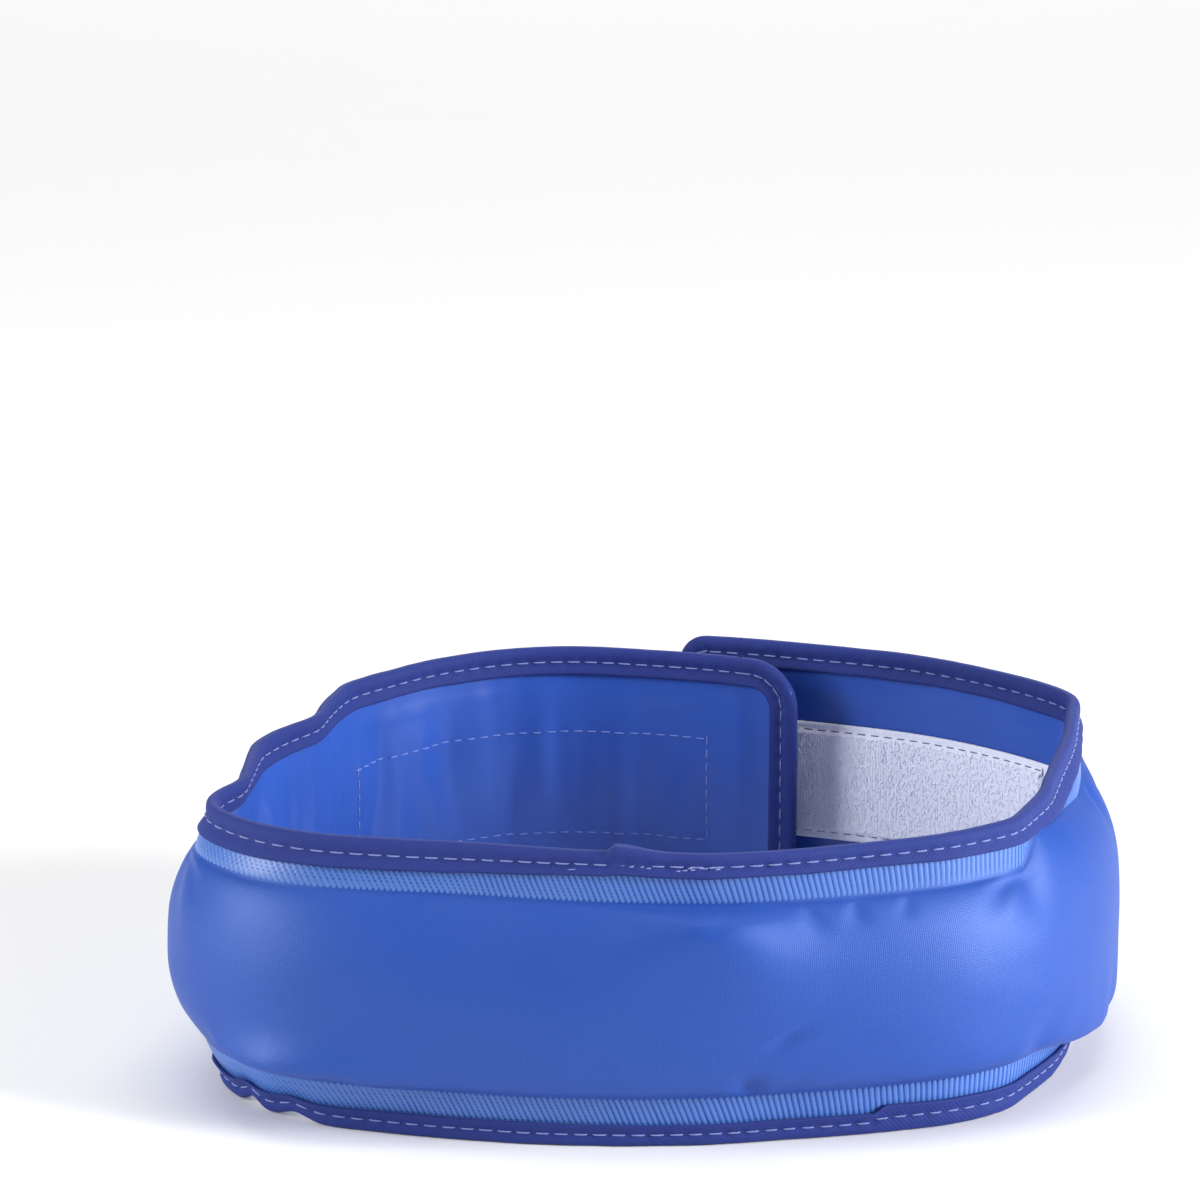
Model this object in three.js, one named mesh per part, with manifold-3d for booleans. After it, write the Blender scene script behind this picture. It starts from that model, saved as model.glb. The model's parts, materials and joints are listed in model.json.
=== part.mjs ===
// A soft padded neck collar for a dog or cat, closed behind the neck with hook-and-loop tape.
// The band is a waterproof outer cover and a smooth lining with foam pads between them. Folded
// tape is sewn over every edge. The collar stands on its lower edge, +Z up, front towards -Y,
// and is built panel by panel: the stretches of band between the folds where it flexes.
import * as THREE from "three";
import { mergeVertices } from "three/addons/utils/BufferGeometryUtils.js";
import Module from "manifold-3d";

const wasm = await Module();
wasm.setup();

// Driving dimensions, in millimetres and degrees.
const bandHeight = 58;
const tapeShows = 5.7;
const tapeThickness = 0.6;
const fabricThickness = 0.6;
const clearance = 0.3;
const padHeight = 39;
const puffDepth = 8.6;
const closureTapeWidth = 25;
const hookThickness = 1.5;
const loopThickness = 1.8;
const flapRise = 2;
const cornerRadius = 5;
const foldRelief = 1;
const sweepStep = 6;
const puffPoints = 8;

// Layers of the band, as distances outward from the neck line, which the tape's inner leg touches.
const liningAt = tapeThickness + clearance;
const coverAt = liningAt + fabricThickness + clearance;
const coverFace = coverAt + fabricThickness;
const outerLegAt = coverFace + clearance;
const bandThickness = outerLegAt + tapeThickness;
const middle = bandHeight / 2;

// The panels in order round the neck, anticlockwise from above, from the free end of the inner
// flap. Each is a chain of bends, [length, turn]. fold is the sharp turn where the panel ends,
// and opens is how far the next panel can swing outward there.
const neckStart = { x: 31, y: 61, heading: 151.5 };
const panels = [
  { name: "inner_flap", bends: [[39, 18], [39, 49], [39, 32]], fold: 0, opens: 0 },
  { name: "left_side", bends: [[63, 12]], fold: 22, opens: 35 },
  { name: "front_left", bends: [[35, 59], [35, 6], [35, 6]], fold: 12, opens: 25 },
  { name: "front_right", bends: [[63, 25]], fold: 44, opens: 50 },
  { name: "right_side", bends: [[78, 6]], fold: 40, opens: 65 },
  { name: "outer_flap", bends: [[46, 33], [46, 14]], fold: 0, opens: 0 },
];

const finishes = {
  cover: { color: 0x4a70c4, roughness: 0.45, metalness: 0 },
  lining: { color: 0x3455a8, roughness: 0.3, metalness: 0 },
  binding: { color: 0x364a9a, roughness: 0.75, metalness: 0 },
  foam: { color: 0xe8e6df, roughness: 0.95, metalness: 0 },
  loop: { color: 0xb5bada, roughness: 0.95, metalness: 0 },
  hook: { color: 0xa9afd4, roughness: 0.6, metalness: 0 },
};

// The place and heading reached by going along an arc of the given length and turn.
function alongArc(from, length, turn) {
  const half = THREE.MathUtils.degToRad(turn / 2);
  const chord = turn === 0 ? length : (length * Math.sin(half)) / half;
  const way = THREE.MathUtils.degToRad(from.heading) + half;
  return {
    x: from.x + chord * Math.cos(way),
    y: from.y + chord * Math.sin(way),
    heading: from.heading + turn,
  };
}

// Gives each panel its length, its start and the slopes of its two end faces: the wedge of free
// room that lets a fold open past straight without its two panels meeting.
function layOutPanels() {
  let here = neckStart;
  let slope = 0;
  for (const panel of panels) {
    panel.start = here;
    panel.length = panel.bends.reduce((sum, [length]) => sum + length, 0);
    panel.startSlope = slope;
    const spare = Math.max(0, (panel.opens - panel.fold) / 2) + foldRelief;
    slope = Math.tan(THREE.MathUtils.degToRad(spare));
    panel.endSlope = slope;
    for (const [length, turn] of panel.bends) here = alongArc(here, length, turn);
    here = { ...here, heading: here.heading + panel.fold };
  }
}

// A point of the band: s along the panel, n outward from the neck line, z up.
function onBand(panel, s, n, z) {
  let here = panel.start;
  let left = s;
  for (const [length, turn] of panel.bends) {
    const step = Math.min(left, length);
    here = alongArc(here, step, (turn * step) / length);
    left -= step;
  }
  here = alongArc(here, left, 0);
  const way = THREE.MathUtils.degToRad(here.heading);
  return new THREE.Vector3(here.x + n * Math.sin(way), here.y - n * Math.cos(way), z);
}

// Sweeps a section, a list of [n, z] points, along a panel between two distances. Where the
// sweep reaches a fold it stops on the fold's sloping end face.
function sweep(panel, section, from = 0, to = panel.length) {
  const shape = new THREE.Shape(section.map(([n, z]) => new THREE.Vector2(z, n)));
  const steps = Math.ceil((to - from) / sweepStep);
  const solid = new THREE.ExtrudeGeometry(shape, { depth: 1, steps, bevelEnabled: false });
  const corners = solid.getAttribute("position");
  for (let i = 0; i < corners.count; i += 1) {
    const z = corners.getX(i);
    const n = corners.getY(i);
    const first = Math.max(from, clearance / 2 + n * panel.startSlope);
    const last = Math.min(to, panel.length - clearance / 2 - n * panel.endSlope);
    const point = onBand(panel, THREE.MathUtils.lerp(first, last, corners.getZ(i)), n, z);
    corners.setXYZ(i, point.x, point.y, point.z);
  }
  solid.computeVertexNormals();
  return solid;
}

// A closed surface of three.js as a solid that can be cut, and back again.
function toSolid(geometry) {
  const bare = geometry.clone();
  for (const name of ["normal", "uv"]) bare.deleteAttribute(name);
  const merged = mergeVertices(bare, 1e-3);
  const vertProperties = merged.getAttribute("position").array;
  const triVerts = new Uint32Array(merged.index.array);
  return new wasm.Manifold(new wasm.Mesh({ numProp: 3, vertProperties, triVerts }));
}

function toGeometry(solid) {
  const cut = solid.getMesh();
  const geometry = new THREE.BufferGeometry();
  geometry.setAttribute("position", new THREE.BufferAttribute(cut.vertProperties, 3));
  geometry.setIndex(new THREE.BufferAttribute(cut.triVerts, 1));
  geometry.computeVertexNormals();
  return geometry;
}

function rectangle(nLow, nHigh, zLow, zHigh) {
  return [[nLow, zLow], [nHigh, zLow], [nHigh, zHigh], [nLow, zHigh]];
}

// Half of a soft oval: how far the puffed cover or pad stands out between its two weld lines.
function puffLine(base, depth, halfHeight) {
  const line = [];
  for (let i = 0; i <= puffPoints; i += 1) {
    const angle = Math.PI * (i / puffPoints - 0.5);
    const out = Math.pow(Math.cos(angle), 0.75);
    line.push([base + depth * out, middle + halfHeight * Math.sin(angle)]);
  }
  return line;
}

// The outer cover of a padded panel: flat where it is welded to the lining, puffed between.
function paddedCover(panel) {
  const low = liningAt;
  const high = bandHeight - liningAt;
  const half = padHeight / 2 + clearance;
  const outside = puffLine(coverFace, puffDepth, half + fabricThickness);
  const inside = puffLine(coverAt, puffDepth, half).reverse();
  return sweep(panel, [[coverAt, low], [coverFace, low], ...outside, [coverFace, high],
    [coverAt, high], ...inside]);
}

function pad(panel) {
  const depth = puffDepth - clearance;
  return sweep(panel, puffLine(coverAt, depth, padHeight / 2));
}

function flatCover(panel, from, to) {
  const high = bandHeight - liningAt;
  return sweep(panel, rectangle(coverAt, coverFace, liningAt, high), from, to);
}

function lining(panel, from, to) {
  const high = bandHeight - liningAt;
  return sweep(panel, rectangle(liningAt, liningAt + fabricThickness, liningAt, high), from, to);
}

// Folded tape over the upper or lower edge: a channel whose two legs lie on lining and cover.
function edgeBinding(panel, isTop, from, to) {
  const flip = (z) => (isTop ? bandHeight - z : z);
  const section = [
    [0, 0], [bandThickness, 0], [bandThickness, tapeShows], [outerLegAt, tapeShows],
    [outerLegAt, tapeThickness], [tapeThickness, tapeThickness],
    [tapeThickness, tapeShows], [0, tapeShows],
  ];
  return sweep(panel, section.map(([n, z]) => [n, flip(z)]), from, to);
}

// A flat outline of a flap's end, its free corners rounded, between two distances from the tip.
function endOutline(inset, reach) {
  const low = inset;
  const high = bandHeight - inset;
  const round = cornerRadius - inset;
  const outline = new THREE.Shape();
  outline.moveTo(reach, low);
  outline.lineTo(reach, high);
  outline.lineTo(inset + round, high);
  outline.absarc(inset + round, high - round, round, Math.PI / 2, Math.PI, false);
  outline.absarc(inset + round, low + round, round, Math.PI, Math.PI * 1.5, false);
  outline.closePath();
  return outline;
}

// A slab of a flap's end, its outline measured from the tip, between two layers of the band.
function endSlab(outline, nLow, nHigh) {
  const options = { depth: nHigh - nLow, bevelEnabled: false, curveSegments: 5 };
  return toSolid(new THREE.ExtrudeGeometry(outline, options).translate(0, 0, nLow));
}

// Bends a solid made flat at a flap's tip, [from tip, z, n], onto the panel.
function bendOnTip(solid, panel, atStart) {
  const bent = toGeometry(solid);
  const corners = bent.getAttribute("position");
  for (let i = 0; i < corners.count; i += 1) {
    const s = atStart ? corners.getX(i) : panel.length - corners.getX(i);
    const point = onBand(panel, s, corners.getZ(i), corners.getY(i));
    corners.setXYZ(i, point.x, point.y, point.z);
  }
  if (!atStart) bent.index.array.reverse();
  bent.computeVertexNormals();
  return bent;
}

// The same folded tape round a flap's free end: a rounded plate with a pocket cut for the band.
function endBinding(panel, atStart) {
  const plate = endSlab(endOutline(0, tapeShows), 0, bandThickness);
  const pocketOutline = endOutline(tapeThickness, tapeShows + 1);
  const pocket = endSlab(pocketOutline, tapeThickness, outerLegAt);
  return bendOnTip(plate.subtract(pocket), panel, atStart);
}

// Trims a flap sheet's free corners round, so that it sits inside the end binding's pocket.
function roundCorners(sheet, panel, atStart) {
  const inset = tapeThickness + clearance;
  const around = new THREE.Shape();
  around.moveTo(-1, -1);
  around.lineTo(cornerRadius, -1);
  around.lineTo(cornerRadius, bandHeight + 1);
  around.lineTo(-1, bandHeight + 1);
  around.closePath();
  const block = endSlab(around, 0, bandThickness);
  const kept = endSlab(endOutline(inset, cornerRadius + 1), -1, bandThickness + 1);
  const waste = bendOnTip(block.subtract(kept), panel, atStart);
  return toGeometry(toSolid(sheet).subtract(toSolid(waste)));
}

function closureTape(panel, low, high, from, to) {
  const half = closureTapeWidth / 2;
  return sweep(panel, rectangle(low, high, middle - half, middle + half), from, to);
}

function addPiece(group, name, geometry, finish) {
  const piece = new THREE.Mesh(geometry, new THREE.MeshStandardMaterial(finish));
  piece.name = name;
  group.add(piece);
}

// A padded panel: pad between cover and lining, with tape along the two edges.
function paddedPanel(panel) {
  const group = new THREE.Group();
  addPiece(group, `${panel.name}_cover`, paddedCover(panel), finishes.cover);
  addPiece(group, `${panel.name}_lining`, lining(panel), finishes.lining);
  addPiece(group, `${panel.name}_pad`, pad(panel), finishes.foam);
  addPiece(group, `${panel.name}_top_binding`, edgeBinding(panel, true), finishes.binding);
  addPiece(group, `${panel.name}_bottom_binding`, edgeBinding(panel, false), finishes.binding);
  return group;
}

// A closure flap: flat cover and lining, tape along both edges and round the free end.
function flap(panel, freeAtStart) {
  const group = new THREE.Group();
  const cut = (fromTip) => (freeAtStart
    ? [fromTip, panel.length]
    : [0, panel.length - fromTip]);
  const inPocket = tapeThickness + clearance;
  const besideEnd = tapeShows + clearance;
  const coverSheet = roundCorners(flatCover(panel, ...cut(inPocket)), panel, freeAtStart);
  const liningSheet = roundCorners(lining(panel, ...cut(inPocket)), panel, freeAtStart);
  addPiece(group, `${panel.name}_cover`, coverSheet, finishes.cover);
  addPiece(group, `${panel.name}_lining`, liningSheet, finishes.lining);
  addPiece(group, `${panel.name}_top_binding`,
    edgeBinding(panel, true, ...cut(besideEnd)), finishes.binding);
  addPiece(group, `${panel.name}_bottom_binding`,
    edgeBinding(panel, false, ...cut(besideEnd)), finishes.binding);
  addPiece(group, `${panel.name}_end_binding`, endBinding(panel, freeAtStart), finishes.binding);
  return group;
}

// Hook tape is sewn to the outside of the inner flap, loop tape to the inside of the outer flap.
function hookTape(panel) {
  const low = coverFace + clearance;
  const hookFrom = 18;
  const hookTo = 104;
  return closureTape(panel, low, low + hookThickness, hookFrom, hookTo);
}

function loopTape(panel) {
  const high = liningAt - clearance;
  const loopFrom = 6;
  const loopTo = 84;
  return closureTape(panel, high - loopThickness, high, loopFrom, loopTo);
}

function buildCollar() {
  layOutPanels();
  const collar = new THREE.Group();
  const [innerFlap, leftSide, frontLeft, frontRight, rightSide, outerFlap] = panels;
  const inner = flap(innerFlap, true);
  addPiece(inner, "hook_tape", hookTape(innerFlap), finishes.hook);
  const outer = flap(outerFlap, false);
  addPiece(outer, "loop_tape", loopTape(outerFlap), finishes.loop);
  outer.position.z = flapRise;
  collar.add(inner, outer);
  for (const panel of [leftSide, frontLeft, frontRight, rightSide]) {
    collar.add(paddedPanel(panel));
  }
  const box = new THREE.Box3().setFromObject(collar);
  const centre = box.getCenter(new THREE.Vector3());
  collar.position.set(-centre.x, -centre.y, 0);
  return collar;
}

export default buildCollar();
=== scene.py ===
"""The looks of a soft padded neck collar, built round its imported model.

The collar is one long band. Every piece of it is worked out on the band's own coordinates: s along
the neck line from the inner flap's tip, n outward from the neck line and z up, in millimetres. A
piece becomes metres in the model's frame when its mesh is made.
"""
import json
import math

import bpy
import numpy as np
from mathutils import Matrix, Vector


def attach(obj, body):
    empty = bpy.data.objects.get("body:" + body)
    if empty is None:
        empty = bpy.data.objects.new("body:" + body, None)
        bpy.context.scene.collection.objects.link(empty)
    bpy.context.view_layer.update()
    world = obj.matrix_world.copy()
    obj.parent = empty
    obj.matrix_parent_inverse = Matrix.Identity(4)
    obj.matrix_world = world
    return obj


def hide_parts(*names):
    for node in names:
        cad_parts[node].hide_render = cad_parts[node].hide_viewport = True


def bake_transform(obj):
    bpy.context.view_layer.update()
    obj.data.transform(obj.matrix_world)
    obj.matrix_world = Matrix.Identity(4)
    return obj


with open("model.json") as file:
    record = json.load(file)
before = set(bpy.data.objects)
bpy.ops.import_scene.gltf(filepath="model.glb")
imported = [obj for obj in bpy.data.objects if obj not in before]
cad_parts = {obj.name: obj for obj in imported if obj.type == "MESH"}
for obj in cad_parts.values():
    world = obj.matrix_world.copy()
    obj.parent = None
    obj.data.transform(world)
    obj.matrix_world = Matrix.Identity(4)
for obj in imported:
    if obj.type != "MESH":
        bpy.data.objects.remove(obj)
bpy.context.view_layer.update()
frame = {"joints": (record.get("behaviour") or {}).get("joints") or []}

# ---------------------------------------------------------------------------------------------
# Outer cover: one strip of coated nylon, welded to the lining along both edges and puffed out over
# the padding between the welds. Its bulge comes from a pressure simulation of the cloth between
# the weld lines, cut a little long so that it takes its soft dents and gathers.
# ---------------------------------------------------------------------------------------------
# The neck line that the cover follows is the inner edge of the band, seen from above. The collar is
# laid out as panels between folds, and the cloth turns softly at each fold. Each row is a bend's
# length in mm, its turn in degrees and the turn at the fold after it.
BAND_HEIGHT = 58.0
BENDS = [
    (39, 18, 0), (39, 49, 0), (39, 32, 0),
    (63, 12, 22),
    (35, 59, 0), (35, 6, 0), (35, 6, 12),
    (63, 25, 44),
    (78, 6, 40),
    (46, 33, 0), (46, 14, 0),
]
START_HEADING = 151.5
FOLDS = {"inner": 117.0, "left": 180.0, "crease": 285.0, "right": 348.0, "closure": 426.0}
BAND_LENGTH = 518.0
FOLD_SOFTNESS = 7.0
FLAP_RISE = 2.0
TABLE_STEP = 0.25


def moving_average(line, softness, **padding):
    """A line of values at the table's step, softened by a raised-cosine average over twice the
    softness. The padding says how the line goes on past its ends."""
    width = int(softness / TABLE_STEP) + 1
    kernel = np.hanning(2 * width + 1)
    return np.convolve(np.pad(line, width, **padding), kernel / kernel.sum(), mode="valid")


def neck_table():
    """Heading is the running sum of the bends' turns, place the running sum of steps along it, and
    a moving average rounds the folds. The line is carried on straight past both tips, and it's set
    in the frame by the front crease's hinge. Gives s, the places and the outward ways."""
    reach = 3 * FOLD_SOFTNESS
    s = np.arange(-reach, BAND_LENGTH + reach + TABLE_STEP / 2, TABLE_STEP)
    heading = np.full(len(s), START_HEADING)
    at = 0.0
    for length, turn, fold in BENDS:
        heading += turn * np.clip((s - at) / length, 0, 1)
        at += length
        heading += fold * (s >= at)
    way = np.radians(heading)
    step = np.stack([np.cos(way), np.sin(way)], axis=1) * TABLE_STEP
    place = np.cumsum(step, axis=0)
    crease = np.array([np.interp(FOLDS["crease"], s, place[:, k]) for k in (0, 1)])
    hinge = next(j for j in frame["joints"] if j["name"] == "front_crease")
    place += np.array(hinge["pos_m"][:2]) * 1000 - crease
    soft = np.stack([moving_average(place[:, k], FOLD_SOFTNESS, mode="reflect", reflect_type="odd")
                     for k in (0, 1)], axis=1)
    along = np.gradient(soft, axis=0)
    along /= np.linalg.norm(along, axis=1, keepdims=True)
    return s, soft, np.stack([along[:, 1], -along[:, 0]], axis=1)


TABLE_S, TABLE_PLACE, TABLE_OUT = neck_table()


def soft_step(x, low, high):
    """0 below low, 1 above high, smooth between."""
    t = np.clip((np.asarray(x, float) - low) / (high - low), 0, 1)
    return t * t * (3 - 2 * t)


def plateau(x, up_from, up_to, down_from, down_to):
    """1 between a smooth step up and a smooth step down, and 0 outside them."""
    return soft_step(x, up_from, up_to) * (1 - soft_step(x, down_from, down_to))


# The band doesn't stand plumb. Its upper and lower edges lie a little inside or outside the neck
# line, and where it turns a corner the padding pushes its middle out. Each row is a place along the
# band and the three ways out there: of the upper edge, the lower edge and the middle.
STANCE = np.array([
    (0, 0, 0, 0), (118, 0, 0, 0), (150, 0, 0, 1.2), (172, 0.8, 0.2, 3.0), (186, 2.6, 0.8, 3.5),
    (200, 3.0, 1.5, 3.0), (214, 1.8, 2.4, 1.8), (235, 0, 2.7, 0.6), (252, 0, 2.4, 0.5),
    (270, 0, 0.6, 0.5), (285, 0, -1.8, 0.2), (300, 0, -2.2, 0.5), (318, 0, -0.6, 0.6),
    (332, -0.4, 0.8, 0.6), (341, -1.4, 0, 0.5), (349, -2.2, -2.2, 0.4), (357, -1.2, 0, 1.0),
    (366, 0, 2.2, 2.0), (376, 0, 3.0, 2.6), (390, 0, 3.0, 2.4), (404, 0, 2.4, 1.6),
    (424, 0, 1.0, 0), (445, 0, 0.3, 0), (518, 0, 0, 0)])
STANCE_SOFT = 6.0
# The heights at which the push on the middle starts, is full, starts to fade and is gone.
MIDDLE_HEIGHTS = (1.0, 11.0, 47.0, 57.0)


def smooth_along(at, values):
    """A table of values by place, drawn along the neck line's places and softened."""
    return moving_average(np.interp(TABLE_S, at, values), STANCE_SOFT, mode="edge")


TOP_OUT, LOW_OUT, MIDDLE_OUT = (smooth_along(STANCE[:, 0], STANCE[:, k]) for k in (1, 2, 3))
# The upper edge waves in and out where the band was bent hardest, on its left side.
WAVE_AT = [0, 90, 102, 113, 125, 136, 146, 158, 171, 184, 198, 518]
WAVE_OUT = [0, 0, 1.7, -1.2, -4.2, 0.1, 2.0, -0.8, -2.7, 1.3, 0, 0]
FLUTTER = smooth_along(WAVE_AT, WAVE_OUT) + 0.35 * np.sin(TABLE_S / 7.3) * np.sin(TABLE_S / 23)

# The lower edge is crumpled at the left front corner: two short rucks lift it off the floor. Each
# row is a ruck's place, height and width, and they die away up the band over the reach.
RUCKS = [(195.5, 1.9, 2.6), (206, 1.5, 3.4)]
RUCK_REACH = 14.0
LOW_LIFT = sum(high * np.exp(-((TABLE_S - at) / wide) ** 2) for at, high, wide in RUCKS)


def band(s, n, z):
    """The point of the frame at s, n, z of the band: the neck line's place, moved out by n, the
    stance and the flutter, and up by z, the rise of the lapped flap and the rucks."""
    s, n, z = np.broadcast_arrays(np.asarray(s, float), n, z)
    up = z / BAND_HEIGHT
    middle = plateau(z, *MIDDLE_HEIGHTS)
    out = (n + np.interp(s, TABLE_S, TOP_OUT) * up + np.interp(s, TABLE_S, LOW_OUT) * (1 - up)
           + np.interp(s, TABLE_S, MIDDLE_OUT) * middle
           + np.interp(s, TABLE_S, FLUTTER) * np.clip(up, 0, 1) ** 3)
    x = np.interp(s, TABLE_S, TABLE_PLACE[:, 0]) + out * np.interp(s, TABLE_S, TABLE_OUT[:, 0])
    y = np.interp(s, TABLE_S, TABLE_PLACE[:, 1]) + out * np.interp(s, TABLE_S, TABLE_OUT[:, 1])
    rise = FLAP_RISE * soft_step(s, FOLDS["right"], FOLDS["closure"])
    rise = rise + np.interp(s, TABLE_S, LOW_LIFT) * (1 - np.clip(z / RUCK_REACH, 0, 1)) ** 2
    return np.stack([x, y, z + rise], axis=-1)


# A long layer of the band is cut at the middle of each panel, so that every piece of it crosses one
# fold.
CUTS = [148.5, 232.5, 316.5, 387.0]
CROSSINGS = [
    ("inner", "inner_flap", "left_side"),
    ("left", "left_side", "front_left"),
    ("crease", "front_left", "front_right"),
    ("right", "front_right", "right_side"),
    ("closure", "right_side", "outer_flap"),
]
BLEND_REACH = 17.0


def grid_normals(points):
    """Unit normals of a grid of points, closed round its second axis: the cross product of the
    differences between neighbours along the two axes."""
    along = np.gradient(points, axis=0)
    across = np.roll(points, -1, axis=1) - np.roll(points, 1, axis=1)
    normal = np.cross(along, across)
    return normal / np.maximum(np.linalg.norm(normal, axis=2, keepdims=True), 1e-9)


def ring_quads(ids):
    """The corners of the quads between each ring of points and the next, closed round the last
    axis."""
    nxt = np.roll(ids, -1, axis=-1)
    return np.stack([ids[..., :-1, :], ids[..., 1:, :], nxt[..., 1:, :], nxt[..., :-1, :]],
                    axis=-1).reshape(-1, 4)


def add_object(name, data):
    """A new object in the scene that holds a mesh, a lamp or a camera."""
    made = bpy.data.objects.new(name, data)
    bpy.context.scene.collection.objects.link(made)
    return made


def make_tube(name, points, normals, uv, material):
    """A closed mesh from a grid of rings. Quads join each ring to the next and a flat face closes
    each end. The rings keep the normals of the whole layer, so that no cut shows."""
    rings, sides = points.shape[:2]
    ids = np.arange(rings * sides).reshape(rings, sides)
    quads = ring_quads(ids)
    faces = [*quads.tolist(), ids[0].tolist(), ids[-1][::-1].tolist()]
    mesh = bpy.data.meshes.new(name)
    mesh.from_pydata((points.reshape(-1, 3) / 1000).tolist(), [], faces)
    corner = np.zeros(len(mesh.loops), np.int32)
    mesh.loops.foreach_get("vertex_index", corner)
    flat_uv = uv.reshape(-1, 2) / 1000
    wrap = np.zeros((rings - 1, sides, 4), bool)
    wrap[:, -1, 2:] = True
    corner_uv = flat_uv[corner]
    seam = np.flatnonzero(wrap.reshape(-1))
    corner_uv[seam, 1] += (uv[0, -1, 1] * 2 - uv[0, -2, 1] - uv[0, 0, 1]) / 1000
    layer = mesh.uv_layers.new(name="band")
    layer.data.foreach_set("uv", corner_uv.astype(np.float32).ravel())
    mesh.shade_smooth()
    custom = normals.reshape(-1, 3)[corner].copy()
    custom[len(quads) * 4:] = 0
    mesh.normals_split_custom_set(custom.tolist())
    mesh.materials.append(material)
    return add_object(name, mesh)


def join_to_fold(piece, fold, before, after):
    """Bakes a finished piece's transform into its mesh; the piece is not bent. The band's points a
    stretch either side of the fold are worked out but not used, and the two bodies, before and after,
    are not used.
    """
    spots = [band(FOLDS[fold] + way * BLEND_REACH, 0, 0) / 1000 for way in (-1, 1)]
    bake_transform(piece)


def band_layer(label, s, points, uv, material, nodes=None):
    """Cuts one layer of the band into its five pieces, and makes and names each and bakes its transform.
    A piece replaces the two bodies' nodes of the given kind, where there is one."""
    normals = grid_normals(points)
    edges = [s[0], *CUTS, s[-1]]
    made = []
    for k, (fold, before, after) in enumerate(CROSSINGS):
        first, last = np.searchsorted(s, np.array(edges[k:k + 2]) - 1e-6)
        rows = slice(first, last + 1)
        piece = make_tube(f"{label}_{fold}", points[rows], normals[rows], uv[rows], material)
        join_to_fold(piece, fold, before, after)
        if nodes:
            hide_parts(f"{before}_{nodes}", f"{after}_{nodes}")
        made.append(piece)
    return made


def stations(low, high, step):
    """Places along the band at an even step that also fall exactly on the cuts."""
    marks = [low, *[cut for cut in CUTS if low < cut < high], high]
    runs = [np.linspace(a, b, int(round((b - a) / step)) + 1)[:-1] for a, b in zip(marks, marks[1:])]
    return np.concatenate([*runs, [high]])


# The cover's own sizes: its back and face as n, the welds as z, and where the puff starts and ends.
COVER_BACK = 1.8
COVER_FACE = 2.4
CLOTH = 0.6
CLOTH_WIDTH = 47.0
COVER_STEP = 1.0
WELD_TOP = 48.3
WELD_LOW = 9.7
PUFF_START = 119.0
PUFF_END = 424.0
MARGIN_ROWS = 6
PUFF_ROWS = 52
# Where the covers and linings stop short of the tips, the margin the bindings hide, and the radius
# of the flaps' corners at the inner and the outer flap's tip.
SHEET_TIP = 0.9
SHEET_MARGIN = 1.2
TIP_RADII = (10.0, 5.5)
# The cloth is simulated at ten times its real size, which suits the solver's time steps.
SIM_UNIT = 100.0
SIM_STEP = 1.9
SIM_ROWS = 26
BACK_ROWS = 4
SIM_FRAMES = 20
START_ARCH = 5.5
PUFF_HEIGHT = 9.0
SHOULDER_AT = [348.5, 351, 355, 362, 378, 392]
SHOULDER_RISE = [0, 2.2, 5.6, 4.9, 2.4, 0]


def weld_top(s):
    """The height of the upper weld. Just past the right front corner the padding shoulders up over
    the weld as far as the binding, so the cloth is held higher there."""
    return WELD_TOP + np.interp(s, SHOULDER_AT, SHOULDER_RISE)


def cover_start_shape(s, rows):
    """Before it is blown up the cloth is a shallow arch between its welds, sine-shaped across the
    band, that dies away to nothing at both ends of the padding."""
    across = np.linspace(0, 1, rows)
    ends = plateau(s, PUFF_START, PUFF_START + 16, PUFF_END - 12, PUFF_END)
    n = COVER_FACE + START_ARCH * np.sin(math.pi * across)[None] * ends[:, None]
    z = WELD_LOW + (weld_top(s)[:, None] - WELD_LOW) * across
    return band(s[:, None], n, z)


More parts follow.
